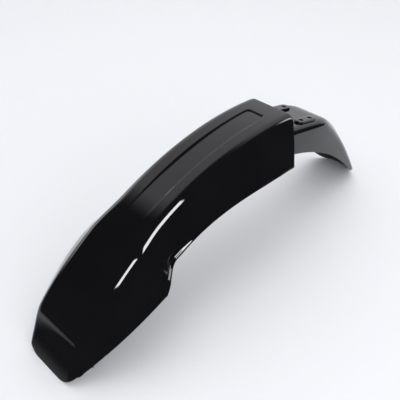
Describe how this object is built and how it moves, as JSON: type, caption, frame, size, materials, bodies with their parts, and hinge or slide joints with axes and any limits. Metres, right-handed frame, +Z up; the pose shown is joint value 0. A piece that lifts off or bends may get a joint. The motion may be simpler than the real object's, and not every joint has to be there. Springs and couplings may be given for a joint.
{
  "type": "motorcycle front mudguard",
  "caption": "Arched moulded front mudguard with side skirts, flared front lobes, a flat nose, a stepped bolting plate with raised pads and a rear flap, to keep spray off the rider.",
  "frame": {"origin": "on the floor under the middle of the box, with the nose and the rear flap on the floor", "axes": "+X forward to the nose, +Y to the left side, +Z up"},
  "size_m": [0.7614, 0.198, 0.248],
  "materials": {
    "gloss_black": "gloss black moulded plastic"
  },
  "bodies": {
    "root": {"front_mudguard": "gloss_black"}
  },
  "joints": []
}
